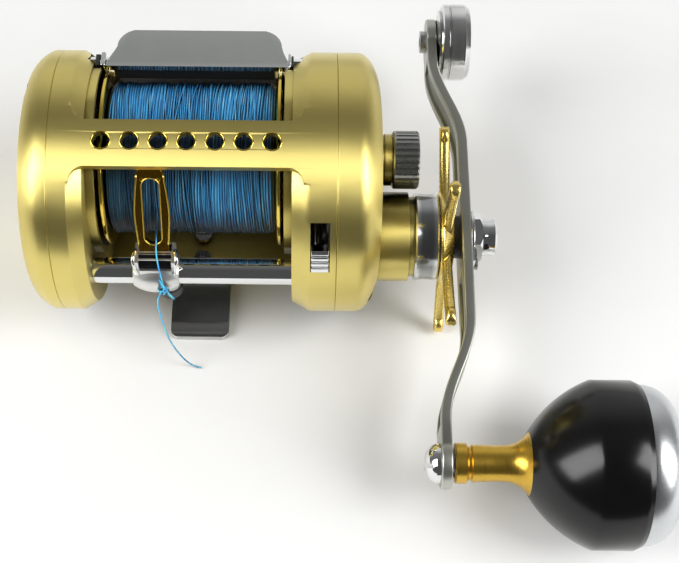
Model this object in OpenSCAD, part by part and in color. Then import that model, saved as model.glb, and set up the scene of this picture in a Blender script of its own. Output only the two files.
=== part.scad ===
// Round trolling reel with a level wind, a thumb bar clutch, a star drag and a
// counterbalanced power handle.
// X runs along the spool axis towards the handle, -Y is the front, where the line leaves, and +Z is up.
// The origin is the centre of the foot's underside.

/* [Frame] */
// Radius of the side rings and side plates
frame_r = 36; // [35.9:0.1:36.3]
// Half the opening between the two side rings
half_opening = 27; // [26.9:0.1:27.1]
// Outer end of the palm side ring
palm_seam_x = -35.8; // [-36.2:0.1:-35.6]
// Outer end of the handle side ring
handle_seam_x = 38.8; // [38.7:0.1:38.9]
// Thickness of the cross bars
bar_t = 3; // [2.4:0.1:3]
// Width of the front cross bar
front_bar_w = 12.5; // [11:0.5:13]
// Diameter of the holes in the front cross bar
bar_hole_d = 4.6; // [3.5:0.1:5]
// Number of holes in the front cross bar
bar_holes = 7; // [5:1:7]

/* [Foot] */
// Length of the reel foot
foot_l = 65; // [58:1:68]
// Width of the reel foot
foot_w = 17; // [16:0.5:18]
// Thickness of the reel foot
foot_t = 2.5; // [2.4:0.1:2.5]

/* [Spool] */
// Radius of the spool flanges
spool_r = 24; // [23:0.1:24]
// Radius of the wound line
line_r = 21; // [16:0.5:21]
// Diameter of the braided line
line_d = 0.45; // [0.4:0.05:0.5]

/* [Handle] */
// Distance from the drive shaft to the knob
arm_reach = 66.5; // [64:0.5:68]
// Radius of the round power knob
knob_r = 22; // [20:0.5:22]
// Radius of the star drag at its arm tips
star_r = 31.5; // [28:0.5:32]

/* [Gears] */
// Gear module, the pitch diameter divided by the number of teeth
gear_m = 0.6; // [0.6:0.1:0.6]
// Teeth of the main gear
main_teeth = 60; // [60:1:60]
// Teeth of the pinion
pinion_teeth = 12; // [12:1:12]
// Teeth of the level wind drive gear
wind_drive_teeth = 34; // [34:1:34]
// Teeth of the worm gear
worm_teeth = 17; // [17:1:17]

/* [Travel] */
// Travel of the thumb bar
clutch_travel = 4; // [3:0.5:4]
// Travel of the clicker button in degrees
clicker_travel = 12; // [8:1:12]

/* [Hidden] */

gold = "#d9c878";
deep_gold = "#c9a227";
chrome = "#c4c8cc";
steel = "#9aa0a4";
grey = "#84877d";
black = "#1c1c1e";
line_blue = "#2f8fd8";

running = 0.05;
cut = 1;
round_fn = 96;

// Axes, as [y, z] points.
frame_axis = [-3.5, 38.5];
spool_axis = [0, 44.7];
gear_distance = gear_m * (main_teeth + pinion_teeth) / 2;
gear_line = 44.5;
drive_axis = spool_axis - gear_distance * [cos(gear_line), sin(gear_line)];
wind_distance = gear_m * (wind_drive_teeth + worm_teeth) / 2;
wind_line = 164.85;
worm_axis = drive_axis + wind_distance * [cos(wind_line), sin(wind_line)];
arm_tilt = 6.4;
knob_axis = drive_axis - arm_reach * [cos(arm_tilt), sin(arm_tilt)];
weight_axis = drive_axis + arm_reach * [cos(arm_tilt), sin(arm_tilt)];

// Ring walls.
shell_r = frame_r - 2.6;
bevel_r = frame_r - 2.5;
wall_x = 30;
spool_opening_r = spool_r + 0.6;
collar_r = spool_r + 2.5;
collar_x = 24.8;
bar_inner_r = frame_r - bar_t;

// Plate faces.
palm_face_x = palm_seam_x - 8.5;
handle_face_x = handle_seam_x + 12.1;
handle_inner_x = handle_seam_x + 10.6;
gear_plate_x = [36.2, 37.8];

// Gear train stations along X.
wind_gear_x = [38.4, 40.2];
main_gear_x = [41.2, 44];
pinion_x = [40.6, 45.4];
groove_x = [45.4, 47];
groove_r = 2.8;
shaft_r = 2;
sleeve_r = 4;
yoke_x = [45.5, 46.9];
yoke_post_r = 1.2;
yoke_post_reach = 9;

// Handle stack along X.
star_x = [68.2, 71.8];
arm_x = 73.7;
arm_t = 2.8;
arm_end_x = 66.2;
thread_r = 3.2;

// Clutch slide direction, as [y, z], down and to the rear.
clutch_angle = -40;
clutch_dir = [cos(clutch_angle), sin(clutch_angle)];
ear_at = [17.3, 63.9];
link_pin_at = [16.75, 63.25];
link_post_at = [9, 56];

// Level wind.
tube_r = 3.55;
tube_bore_r = 2.75;
guide_x = -9.8;
guide_tilt = 25;
guide_root = [-31.5, 38.6];
leaf_t = 1.6;
pawl_x = guide_x + 3.2;

// Screw positions.
foot_screw_y = [-8.5, 0, 8.5];
plate_screw_at = [[19, 59.2], [14.5, 14.5], [-32.4, 28.5]];
plate_recess_r = 3.4;
plate_boss_r = 2.7;
palm_screw_at = [for (a = [75, 195, 315]) frame_axis + 29.5 * [cos(a), sin(a)]];

// Free line route, hand placed, from the spool through the guide's slot to the surface below.
line_route = [[-9.1, -21, 48.7], [-9.1, -23.2, 47.6], [-9.1, -25.6, 46.6], [-9.1, -28.4, 45.8],
    [-9.1, -30.4, 44.9], [-9, -31.9, 43.2], [-8.6, -33.6, 40.9], [-8, -35.6, 38.8],
    [-7.6, -36.5, 36.6], [-7.7, -36.8, 34.6], [-8.5, -37, 32.8], [-9.3, -37.3, 30.6],
    [-9.6, -37.8, 28], [-9.3, -38.4, 25], [-8.9, -39, 21.8], [-8.3, -39.6, 18],
    [-7.6, -40.1, 14], [-6.4, -40.6, 10], [-5, -41, 6.4], [-3.6, -41.2, 3.4], [-2.2, -41.4, 1.4],
    [-0.8, -41.7, 0.6], [0.8, -42.1, 0.5]];
line_steps = 3;

// ---- General shapes ----

// Places children so that local Z runs along X at the axis p, with local X along Y.
module on_axis(p, x = 0) {
    translate([x, p[0], p[1]]) rotate([90, 0, 90]) children();
}

// Cylinder along X between x0 and x1.
module rod(p, x0, x1, r) {
    on_axis(p, x0) cylinder(r = r, h = x1 - x0, $fn = round_fn);
}

// Ring along X between x0 and x1.
module ring(p, x0, x1, r, bore) {
    difference() {
        rod(p, x0, x1, r);
        rod(p, x0 - cut, x1 + cut, bore);
    }
}

// Turned shape around an X axis, from [radius, x] points.
module turned(p, points) {
    on_axis(p) rotate_extrude($fn = round_fn) polygon(points);
}

// Flat bar in a plane square to X, between two [y, z] points, with round ends.
module link_bar(a, b, w, x0, x1) {
    d = b - a;
    rod(a, x0, x1, w / 2);
    rod(b, x0, x1, w / 2);
    on_axis(a, x0) rotate(atan2(d[1], d[0])) translate([0, -w / 2, 0]) cube([norm(d), w, x1 - x0]);
}

// Points of an arc from a to b that bulges by the height h to the left of the way from a to b.
function arc(a, b, h, n = 8) =
    let (d = b - a, c = norm(d), r = (c * c / 4 + h * h) / (2 * h),
        left = [-d[1], d[0]] / c, centre = (a + b) / 2 + left * (h - r),
        a0 = atan2(a[1] - centre[1], a[0] - centre[0]),
        a1 = atan2(b[1] - centre[1], b[0] - centre[0]),
        turn = (a1 - a0 + 540) % 360 - 180)
    [for (i = [0:n]) centre + abs(r) * [cos(a0 + turn * i / n), sin(a0 + turn * i / n)]];

// ---- Gears ----

pressure = 20;
gear_addendum = 0.7;
gear_dedendum = 0.95;
backlash = 0.06;

function involute(a) = tan(a) * 180 / PI - a;

// Half the angle of a tooth at radius r, for n teeth.
function tooth_half(n, r) =
    let (rp = gear_m * n / 2, rb = rp * cos(pressure), at_r = r > rb ? acos(rb / r) : 0)
    90 / n - backlash / 2 / rp * 180 / PI + involute(pressure) - involute(at_r);

// Outline of a spur gear with a tooth on the local X axis.
function gear_outline(n) =
    let (rp = gear_m * n / 2, ra = rp + gear_m * gear_addendum, rf = rp - gear_m * gear_dedendum,
        start = max(rf, rp * cos(pressure)), steps = 5,
        rs = [for (i = [0:steps]) start + (ra - start) * i / steps])
    [for (k = [0:n - 1]) each concat(
        [rf * [cos(360 * k / n - tooth_half(n, start)), sin(360 * k / n - tooth_half(n, start))]],
        [for (i = [0:steps]) let (a = 360 * k / n - tooth_half(n, rs[i])) rs[i] * [cos(a), sin(a)]],
        [for (i = [steps:-1:0]) let (a = 360 * k / n + tooth_half(n, rs[i])) rs[i] * [cos(a), sin(a)]],
        [rf * [cos(360 * k / n + tooth_half(n, start)), sin(360 * k / n + tooth_half(n, start))]])];

// Spur gear between two X stations, turned by angle a.
module gear(p, xs, n, a) {
    on_axis(p, xs[0]) rotate(a) linear_extrude(xs[1] - xs[0]) polygon(gear_outline(n));
}

// ---- Frame and side plates ----

// Chamfer on both sides of the seams between the rings and the side plates.
seam_edge = 0.2;

palm_ring = [[0, -wall_x], [shell_r, -wall_x], [shell_r, palm_seam_x],
    [frame_r - seam_edge, palm_seam_x], [frame_r, palm_seam_x + seam_edge], [frame_r, -30.7],
    [bevel_r, -half_opening], [0, -half_opening]];
handle_ring = [[0, half_opening], [bevel_r - 0.2, half_opening], [frame_r, 31.9],
    [frame_r, handle_seam_x - seam_edge], [frame_r - seam_edge, handle_seam_x],
    [shell_r, handle_seam_x], [shell_r, wall_x], [0, wall_x]];

// Radial frame of a cross bar: local Z points outwards and local X runs along the reel's X.
module at_frame_angle(a) {
    translate([0, frame_axis[0], frame_axis[1]]) rotate([a, 0, 0]) children();
}

module bar_blank(a, w) {
    fillet = 4;
    intersection() {
        difference() {
            rod(frame_axis, -31, 32, frame_r);
            rod(frame_axis, -32, 33, bar_inner_r);
        }
        at_frame_angle(a) difference() {
            translate([-30.7, -w / 2 - fillet, 20]) cube([62.6, w + 2 * fillet, 20]);
            for (s = [-1, 1]) {
                translate([-half_opening + fillet / 4, s > 0 ? w / 2 : -w / 2 - 2 * fillet, 19])
                    cube([2 * half_opening - fillet / 2, 2 * fillet, 22]);
                for (e = [-1, 1])
                    translate([e * (half_opening - fillet / 4), s * (w / 2 + fillet), 19])
                        cylinder(r = fillet, h = 22, $fn = 48);
            }
        }
    }
}

// Slot that follows the thumb bar's ears in the ring walls.
module ear_slot(x0, x1) {
    on_axis(ear_at, x0) rotate(clutch_angle) translate([-2.8, -1.75, 0])
        cube([clutch_travel + 5.6, 3.5, x1 - x0]);
}

// Tilts of the cross bars about the frame axis from straight up, forwards positive.
front_bar_angle = 20.6;
rear_bar_angle = -92;
floor_angle = 185;

module frame() color(gold) {
    difference() {
        union() {
            turned(frame_axis, palm_ring);
            turned(frame_axis, handle_ring);
            bar_blank(front_bar_angle, front_bar_w);
            bar_blank(rear_bar_angle, 16);
            bar_blank(floor_angle, 23);
            intersection() {
                for (x = [-half_opening - 0.5, collar_x])
                    rod(spool_axis, x, x + half_opening + 0.5 - collar_x, collar_r);
                rod(frame_axis, -28, 28, bar_inner_r - 0.2);
            }
        }
        rod(spool_axis, -31, 31, spool_opening_r);
        for (i = [0:bar_holes - 1])
            at_frame_angle(front_bar_angle) translate([7.3 * (i - (bar_holes - 1) / 2), 0.5, 25])
                cylinder(d = bar_hole_d, h = 15, $fn = round_fn);
        rod(worm_axis, -31, 31, 2.2);
        for (x = [-wall_x - 1, collar_x - 1]) ear_slot(x, x + 6.6);
        for (x = [half_opening - 3.2, -half_opening])
            on_axis(ear_at, x) rotate(clutch_angle) translate([-5, -7, 0]) cube([14, 12, 3.2]);
        clicker_slot();
        for (y = foot_screw_y) translate([0, y, 0]) cylinder(r = 1.6, h = 12, $fn = 48);
    }
}

// The clicker's slot runs round the handle side ring.
clicker_low = 13;
clicker_span = 11;
clicker_x = [31.9, 37];

module ring_sector(x0, x1, r0, r1, a0, a1) {
    intersection() {
        ring(frame_axis, x0, x1, r1, r0);
        on_axis(frame_axis, x0 - cut) linear_extrude(x1 - x0 + 2 * cut)
            polygon([[0, 0], 60 * [-cos(a0), sin(a0)], 60 * [-cos((a0 + a1) / 2), sin((a0 + a1) / 2)],
                60 * [-cos(a1), sin(a1)]]);
    }
}

module clicker_slot() {
    ring_sector(clicker_x[0], clicker_x[1], shell_r - cut, frame_r + cut, clicker_low,
        clicker_low + clicker_span + clicker_travel + 0.8);
}

module clicker_button() color(chrome) {
    low = clicker_low + 0.4;
    difference() {
        union() {
            ring_sector(clicker_x[0] + 0.25, clicker_x[1] - 0.25, shell_r - 0.6, frame_r + 0.5, low,
                low + clicker_span);
            ring_sector(33, 34.2, 8.2, shell_r - 0.3, low + 3.5, low + 8.5);
        }
        for (i = [1:3]) ring_sector(clicker_x[0], clicker_x[1], frame_r - 0.2, frame_r + cut,
            low + clicker_span * i / 4 - 0.6, low + clicker_span * i / 4 + 0.6);
        rod(spool_axis, 32, 35, 10.55);
    }
}

module foot() color(chrome) {
    corner = 2.3;
    difference() {
        union() {
            translate([-foot_w / 2, -foot_l / 2 + corner, 0]) cube([foot_w, foot_l - 2 * corner, foot_t]);
            translate([-foot_w / 2 + corner, -foot_l / 2, 0]) cube([foot_w - 2 * corner, foot_l, foot_t]);
            for (x = [-1, 1], y = [-1, 1])
                translate([x * (foot_w / 2 - corner), y * (foot_l / 2 - corner), 0])
                    cylinder(r = corner, h = foot_t, $fn = 48);
            translate([-7, -14.5, 0]) cube([14, 28, 5.2]);
        }
        rod(frame_axis, -20, 20, frame_r);
        for (y = foot_screw_y) translate([0, y, 0.8]) cylinder(r = 1.4, h = 12, $fn = 48);
        for (y = [-1, 1]) translate([0, y * (foot_l / 2 + 1), foot_t + 21.6])
            rotate([0, 90, 0]) cylinder(r = 22.4, h = 40, center = true, $fn = round_fn);
    }
}

// Height of the frame floor's inner face at y.
function floor_z(y) = frame_axis[1] - sqrt(bar_inner_r * bar_inner_r - pow(y - frame_axis[0], 2));

module foot_screws() color(steel) for (y = foot_screw_y) {
    top = max(floor_z(y - 2.4), floor_z(y + 2.4));
    difference() {
        union() {
            translate([0, y, 0.8]) cylinder(r = 1.4, h = top - 0.6, $fn = 48);
            translate([0, y, top]) cylinder(r = 2.4, h = 1.2, $fn = 48);
        }
        translate([-3, y - 0.3, top + 0.7]) cube([6, 0.6, 2]);
    }
}

// Palm side plate, a closed cup with a boss for the spool bearing and the brake ring.
palm_corner = arc([25, palm_face_x], [frame_r, palm_seam_x - 2.6], -2.4, 10);
palm_inner = arc([24, palm_face_x + 1.8], [frame_r - 2, palm_seam_x - 2.6], -2.2, 10);
function reversed(v) = [for (i = [len(v) - 1:-1:0]) v[i]];

module palm_side_plate() color(gold) {
    difference() {
        union() {
            turned(frame_axis, concat([[0, palm_face_x]], palm_corner,
                [[frame_r, palm_seam_x - seam_edge], [frame_r - seam_edge, palm_seam_x],
                    [frame_r - 2, palm_seam_x]], reversed(palm_inner),
                [[0, palm_face_x + 1.8]]));
            rod(spool_axis, palm_face_x + 1, -33.8, 6.6);
            rod(spool_axis, -35.4, -33.6, 15.2);
            for (p = palm_screw_at) rod(p, palm_face_x + 3, -30.2, 2.6);
        }
        rod(spool_axis, -37, -32, 4);
        rod(spool_axis, -39.5, -36, 2.6);
        for (p = palm_screw_at) {
            rod(p, -50, -41, 2.5);
            rod(p, -42, -29, 1.25);
        }
    }
}

module slotted_screw(p, head, tip, r, shank, slot_r) {
    s = sign(head - tip);
    difference() {
        union() {
            rod(p, min(head, head - s * 1.6), max(head, head - s * 1.6), r);
            rod(p, min(tip, head - s * 1.2), max(tip, head - s * 1.2), shank);
        }
        translate([head, p[0], p[1]]) cube([1.4, 0.7, 2 * slot_r + cut], center = true);
    }
}

module palm_plate_screws() color(steel)
    for (p = palm_screw_at) slotted_screw(p, -42.6, -30.4, 2.4, 1.2, 2.4);

// Ball bearing with shields set a little below its faces.
module bearing(p, x0, x1, r, bore) {
    rim = (r - bore) * 0.25;
    difference() {
        ring(p, x0, x1, r, bore);
        for (x = [x0 - cut, x1 - 0.2]) ring(p, x, x + 0.2 + cut, r - rim, bore + rim);
    }
}

module palm_bearing() color(steel) bearing(spool_axis, -36.9, -34, 4, shaft_r + running);

module brake_ring() color(steel) ring(spool_axis, -33.6, -27.8, 15.2, 14.1);

module levelwind_tube() color(chrome) {
    difference() {
        ring(worm_axis, -half_opening + 0.05, half_opening - 0.05, tube_r, tube_bore_r);
        translate([-22.5, worm_axis[0] - 1.3, worm_axis[1] - 5]) cube([47.2, 2.6, 5]);
    }
}

module worm_bushings() color("#b08d45") for (s = [-1, 1])
    ring(worm_axis, s > 0 ? half_opening : -wall_x, s > 0 ? wall_x : -half_opening, 2.2, 1.5 + running);

module gear_plate() color(steel) {
    difference() {
        rod(frame_axis, gear_plate_x[0], gear_plate_x[1], shell_r - 0.2);
        rod(spool_axis, 35, 39, 5);
        rod(drive_axis, 35, 39, 2.5 + running);
        rod(worm_axis, 35, 39, 2);
        link_bar(link_post_at, link_post_at + clutch_travel * clutch_dir, 3.6, 35, 39);
        for (p = [plate_screw_at[0], plate_screw_at[1]]) rod(p, 35, 39, 1.25);
        ring_sector(35, 39, shell_r - 4, frame_r, 6, 48);
    }
}

// Handle side plate with the drive neck and the cast control boss.
corner_depth = 6.5;
corner_width = 13;
handle_corner = [for (i = [0:14]) let (a = 90 * i / 14)
    [frame_r - corner_width * (1 - cos(a)), handle_face_x - corner_depth * (1 - sin(a))]];
handle_cavity = arc([22, handle_inner_x], [frame_r - 2, handle_face_x - 6], 1, 8);

module handle_side_plate() color(gold) {
    difference() {
        union() {
            turned(frame_axis, concat([[frame_r - seam_edge, handle_seam_x],
                [frame_r, handle_seam_x + seam_edge]], handle_corner, [[0, handle_face_x]],
                [[0, handle_inner_x]], handle_cavity, [[frame_r - 2, handle_seam_x]]));
            rod(drive_axis, handle_inner_x, 59.1, 12.5);
            rod(drive_axis, 59, 61.3, 11.2);
            rod(spool_axis, handle_inner_x, 52.3, 6.9);
            rod(spool_axis, 52.2, 54.2, 7.2);
            rod(spool_axis, 54, 58, 6.3);
            for (p = [plate_screw_at[0], plate_screw_at[1]]) rod(p, gear_plate_x[1], 48, plate_boss_r);
            rod(plate_screw_at[2], 44.6, 48, plate_boss_r);
        }
        rod(drive_axis, 48, 62, 8.5);
        rod(spool_axis, 48, 53, 5.2);
        rod(spool_axis, 52, 59, 3.2);
        for (p = plate_screw_at) {
            rod(p, 46, 52, plate_recess_r);
            rod(p, 36, 47, 1.25);
        }
    }
}

module handle_plate_screws() color(steel) {
    for (i = [0:2]) slotted_screw(plate_screw_at[i], 47.8, i < 2 ? 36.4 : 45, 2.7, 1.2, 2.7);
}

module pinion_bearing() color(steel) bearing(spool_axis, 50, 52.9, 5.2, 2.9 + running);

module roller_clutch() color(steel) {
    difference() {
        ring(drive_axis, 49.8, 56.8, 8.5, sleeve_r + running);
        for (x = [48.8, 56.4]) ring(drive_axis, x, x + 1.4, 7.4, 5.2);
    }
}

module drive_bearing() color(steel) bearing(drive_axis, 57, 61.2, 8.5, sleeve_r + running);

module neck_collar() color(chrome) {
    turned(drive_axis, concat([[4.3, 61.3], [11.2, 61.3], [11.2, 60.8], [11.9, 60.8]],
        arc([12.3, 61.3], [12.3, 66.9], 0.35, 6), [[11.8, 67.4], [4.3, 67.4]]));
}

// The clutch yoke slides on two posts that stand square to the line of the gear centres.
yoke_post_dir = [-sin(gear_line), cos(gear_line)];
yoke_post_at = [for (s = [-1, 1]) spool_axis + s * yoke_post_reach * yoke_post_dir];

module yoke_posts() color(steel)
    for (p = yoke_post_at) rod(p, gear_plate_x[1], handle_inner_x, yoke_post_r);

// Coil spring along X, swept as one closed skin.
function coil_ring(c, u, n, r, m) =
    [for (j = [0:m - 1]) c + r * (cos(360 * j / m) * u + sin(360 * j / m) * n)];

module coil_spring(p, x0, x1, r, wire, turns) {
    m = 6;
    per = 14;
    n = turns * per;
    pts = [for (i = [0:n]) let (a = 360 * i / per, u = [0, cos(a), sin(a)])
        each coil_ring([x0 + wire + (x1 - x0 - 2 * wire) * i / n, p[0], p[1]] + r * u,
            u, [1, 0, 0], wire, m)];
    polyhedron(pts, concat(
        [[for (j = [0:m - 1]) m - 1 - j]],
        [for (i = [0:n - 1], j = [0:m - 1])
            [i * m + j, i * m + (j + 1) % m, (i + 1) * m + (j + 1) % m, (i + 1) * m + j]],
        [[for (j = [0:m - 1]) n * m + j]]));
}

module yoke_springs() color(steel)
    for (p = yoke_post_at) coil_spring(p, yoke_x[1] + 0.02, handle_inner_x - 0.02, 1.75, 0.22, 3);

// ---- Spool ----

flange_out = 24.4;
flange_in = 22.65;

module spool() color(deep_gold) {
    difference() {
        turned(spool_axis, [[0, -flange_out], [22.8, -flange_out], [spool_r, -flange_out + 0.6],
            [spool_r, -flange_in - 0.4], [23.4, -flange_in], [12, -flange_in], [12, flange_in],
            [23.4, flange_in], [spool_r, flange_in + 0.4], [spool_r, flange_out - 0.6],
            [22.8, flange_out], [0, flange_out]]);
        for (s = [-1, 1]) ring(spool_axis, s > 0 ? flange_out - 0.5 : -flange_out - cut,
            s > 0 ? flange_out + cut : -flange_out + 0.5, 21, 7);
        rod(spool_axis, -30, 30, 3);
    }
}

module spool_shaft() color(steel) {
    difference() {
        rod(spool_axis, -37.6, 56.4, shaft_r);
        on_pin_axis() cylinder(r = pin_r, h = 6, center = true, $fn = 32);
    }
    rod(spool_axis, -29.8, 30.2, 3);
}

module spool_line() color(line_blue)
    ring(spool_axis, -flange_in, flange_in, line_r, 12);

module brake_hub() color(black) {
    ring(spool_axis, -29.6, -flange_out, 5.4, 3);
    for (k = [0:5]) translate([-27.6, spool_axis[0], spool_axis[1]]) rotate([60 * k, 0, 0])
        translate([0, 0, 5]) cylinder(r = 0.7, h = 7.6, $fn = 32);
}

module brake_blocks() color("#d8d4c4") for (k = [0:5])
    translate([-27.6, spool_axis[0], spool_axis[1]]) rotate([60 * k, 0, 0]) difference() {
        translate([0, 0, 9.2]) cylinder(r = 1.6, h = 4.2, $fn = 48);
        translate([0, 0, 4]) cylinder(r = 0.7, h = 8.6, $fn = 32);
    }

module click_gear() color(steel) {
    on_axis(spool_axis, 32.4) difference() {
        linear_extrude(2) polygon([for (i = [0:39]) (i % 2 == 0 ? 10.2 : 8.9) * [cos(9 * i), sin(9 * i)]]);
        translate([0, 0, -cut]) cylinder(r = shaft_r, h = 4, $fn = 48);
    }
    ring(spool_axis, 30.3, 32.5, 3.6, shaft_r);
}

// Cross pin that the pinion's slot drives.
pin_r = 0.7;
module on_pin_axis() translate([39.9, spool_axis[0], spool_axis[1]]) rotate([gear_line, 0, 0]) children();

module shaft_pin() color(steel) on_pin_axis() cylinder(r = pin_r, h = 6, center = true, $fn = 32);

// ---- Clutch ----

module clutch_yoke() color("#b08d45") {
    difference() {
        union() {
            link_bar(yoke_post_at[0], yoke_post_at[1], 4.6, yoke_x[0], yoke_x[1]);
            rod(spool_axis, yoke_x[0], yoke_x[1], 5.6);
            link_bar(spool_axis, link_post_at + [1.5, -1.2], 4, yoke_x[0], yoke_x[1]);
        }
        link_bar(spool_axis, spool_axis + 9 * [-cos(gear_line), -sin(gear_line)], 2 * (groove_r + 0.08),
            yoke_x[0] - cut, yoke_x[1] + cut);
        for (p = yoke_post_at) rod(p, yoke_x[0] - cut, yoke_x[1] + cut, yoke_post_r + 0.07);
    }
}

module pinion() color("#b08d45") {
    difference() {
        union() {
            rod(spool_axis, 39, 40.7, 3.05);
            gear(spool_axis, pinion_x, pinion_teeth, gear_line + 180 + 180 / pinion_teeth);
            rod(spool_axis, groove_x[0] - 0.1, groove_x[1] + 0.1, groove_r);
            rod(spool_axis, groove_x[1], 48, 3.8);
            rod(spool_axis, 47.9, 51.2, 2.9);
        }
        rod(spool_axis, 38, 53, shaft_r + running);
        translate([38.8, spool_axis[0], spool_axis[1]]) rotate([gear_line, 0, 0])
            translate([0.9, 0, 0]) cube([1.8, 1.6, 8], center = true);
    }
}

// Thumb bar, a chromed plate with an ear at each end.
bar_top_z = 66.5;
bar_skin = 1.8;
bar_front_y = 14.3;
bar_rear_y = 27.3;

module clutch_bar() color(chrome) {
    translate([0, 0, bar_top_z - bar_skin]) linear_extrude(bar_skin) polygon(concat(
        [[-24, bar_front_y], [25.6, bar_front_y], [25.4, 16.2], [24.2, 19.4]],
        arc([23.7, 21.4], [19.2, bar_rear_y], -1.3, 8),
        arc([-16.8, bar_rear_y], [-21.2, 21.4], -1.3, 8),
        [[-22, 19.4], [-23.6, 16.2]]));
    for (x = [[-29.8, -23], [24.4, 29.8]]) on_axis(ear_at, x[0]) rotate(clutch_angle)
        translate([-2.4, -1.45, 0]) cube([4.8, 2.9, x[1] - x[0]]);
}

module clutch_bar_pad() color(black) {
    difference() {
        translate([-21.8, bar_front_y + 0.4, 50.5]) cube([43.6, 7, bar_top_z - bar_skin - 50.5]);
        rod(spool_axis, -23, 23, line_r + 0.9);
        rod(spool_axis - clutch_travel * clutch_dir, -23, 23, line_r + 0.6);
    }
}

module clutch_link() color(steel) {
    d = link_post_at - link_pin_at;
    rod(link_pin_at, 29.8, 31.8, 0.8);
    rod(link_post_at, 30.4, 31.8, 1.8);
    on_axis(link_pin_at, 30.4) rotate(atan2(d[1], d[0])) translate([0, -1.2, 0]) cube([norm(d), 2.4, 1.4]);
    rod(link_post_at, 31, 45.1, 1.4);
}

// ---- Drive shaft, drag and handle ----

module drive_shaft() color(steel) {
    rod(drive_axis, 35.4, 38, 2.5);
    rod(drive_axis, 37.95, 46.8, 3.2);
    rod(drive_axis, 46.7, 66, sleeve_r);
    rod(drive_axis, 65.9, 80.4, thread_r);
}

module levelwind_drive_gear() color("#c9c3a8") difference() {
    gear(drive_axis, wind_gear_x, wind_drive_teeth, wind_line);
    rod(drive_axis, 37, 42, 3.2);
}

module main_gear() color("#b08d45") difference() {
    gear(drive_axis, main_gear_x, main_teeth, gear_line);
    rod(drive_axis, 40, 45, 3.2);
    ring(drive_axis, main_gear_x[0] + 1.2, 45, 15, 4.6);
}

module drag_washers() color(black) {
    ring(drive_axis, 42.4, 43, 14.8, 4.7);
    ring(drive_axis, 44, 44.5, 14.4, 4.7);
}

module drag_plates() color(steel) {
    ring(drive_axis, 43, 44, 14.6, 4.7);
    ring(drive_axis, 44.5, 45.2, 14.2, 3.2);
}

module drag_springs() color(steel) {
    turned(drive_axis, [[3.3, 45.2], [3.3, 45.8], [7, 46.2], [7, 45.6]]);
    turned(drive_axis, [[3.3, 46.6], [3.3, 46.1], [7, 46.25], [7, 46.75]]);
}

module arm_spacer() color(black) ring(drive_axis, 72.1, arm_x, 6, thread_r);

// Offset of the arm's inner face at the distance u from the drive shaft.
function arm_offset(u) =
    let (t = min(1, max(0, (abs(u) - 27.5) / 29.5)))
    arm_end_x + (arm_x - arm_end_x) * (1 + cos(180 * t)) / 2;

// Half width of the arm at the distance u.
function arm_half(u) = 8 - 1.8 * min(1, max(0, (abs(u) - 10) / 45));

module arm_side(extra) {
    us = [for (u = [-74:2:74]) u];
    polygon(concat([for (u = us) [u, arm_offset(u) - extra]],
        [for (u = reversed(us)) [u, arm_offset(u) + arm_t + extra]]));
}

// Arm local frame: X along the arm, Y across it and Z along the reel's X.
module arm_frame() {
    on_axis(drive_axis) rotate(arm_tilt) children();
}

module handle_arm() color(grey) {
    tip_r = 7;
    us = [for (u = [-64:8:64]) u];
    difference() {
        intersection() {
            arm_frame() rotate([90, 0, 0]) linear_extrude(24, center = true) arm_side(0);
            arm_frame() translate([0, 0, 60]) {
                linear_extrude(20) polygon(concat([for (u = us) [u, arm_half(u)]],
                    [for (u = reversed(us)) [u, -arm_half(u)]]));
                for (s = [-1, 1]) translate([s * (arm_reach - 0.2), 0, 0])
                    cylinder(r = tip_r, h = 20, $fn = 64);
            }
        }
        arm_frame() intersection() {
            translate([0, 0, -arm_t + 0.7]) rotate([90, 0, 0]) linear_extrude(7, center = true) arm_side(0);
            for (s = [-1, 1]) translate([s > 0 ? 13 : -57, -5, 50]) cube([44, 10, 30]);
        }
        rod(drive_axis, 70, 80, thread_r);
        rod(knob_axis, 60, 75, 2.5);
        rod(weight_axis, 60, 75, 1.8);
    }
}

module nut_retainer() color(chrome) {
    difference() {
        arm_frame() union() {
            translate([-10.2, -5.5, arm_x + arm_t]) cube([13, 11, 0.9]);
            translate([0, 0, arm_x + arm_t]) cylinder(r = 8, h = 0.9, $fn = 64);
        }
        rod(drive_axis, 75, 79, thread_r);
        arm_frame() translate([-8.4, 0, 74]) cylinder(r = 1, h = 5, $fn = 32);
    }
}

module handle_nut() color(chrome) {
    difference() {
        union() {
            intersection() {
                on_axis(drive_axis, 77.4) rotate(21) cylinder(r = 7.3, h = 2.4, $fn = 6);
                turned(drive_axis, [[0, 77.3], [7.4, 77.3], [7.4, 78.9], [6.5, 79.9], [0, 79.9]]);
            }
            turned(drive_axis, [[0, 79.7], [5.3, 79.7], [5.3, 80.6], [5.1, 81.2], [5.1, 82.4],
                [5.3, 83], [5.3, 83.4], [4.7, 84], [0, 84]]);
        }
        rod(drive_axis, 77, 80.5, thread_r);
    }
}

module retainer_screw() color(steel) arm_frame() {
    difference() {
        union() {
            translate([-8.4, 0, arm_x + arm_t + 0.9]) cylinder(r = 1.7, h = 1.1, $fn = 48);
            translate([-8.4, 0, arm_x + arm_t]) cylinder(r = 1, h = 1, $fn = 32);
        }
        translate([-8.4, 0, arm_x + arm_t + 2]) cube([4, 0.5, 0.9], center = true);
    }
}

module counterweight() color(chrome) {
    x0 = arm_end_x + arm_t;
    difference() {
        turned(weight_axis, [[0, x0], [6, x0], [9.6, x0 + 0.9], [9.6, x0 + 1.5], [11.4, x0 + 2.1],
            [11.4, x0 + 3.6], [11, x0 + 3.8], [11, x0 + 4.1], [11.4, x0 + 4.3], [11.4, x0 + 8.4],
            [10.2, x0 + 9.9], [0, x0 + 9.9]]);
        rod(weight_axis, x0 - cut, x0 + 5, 1.8);
    }
}

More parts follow.
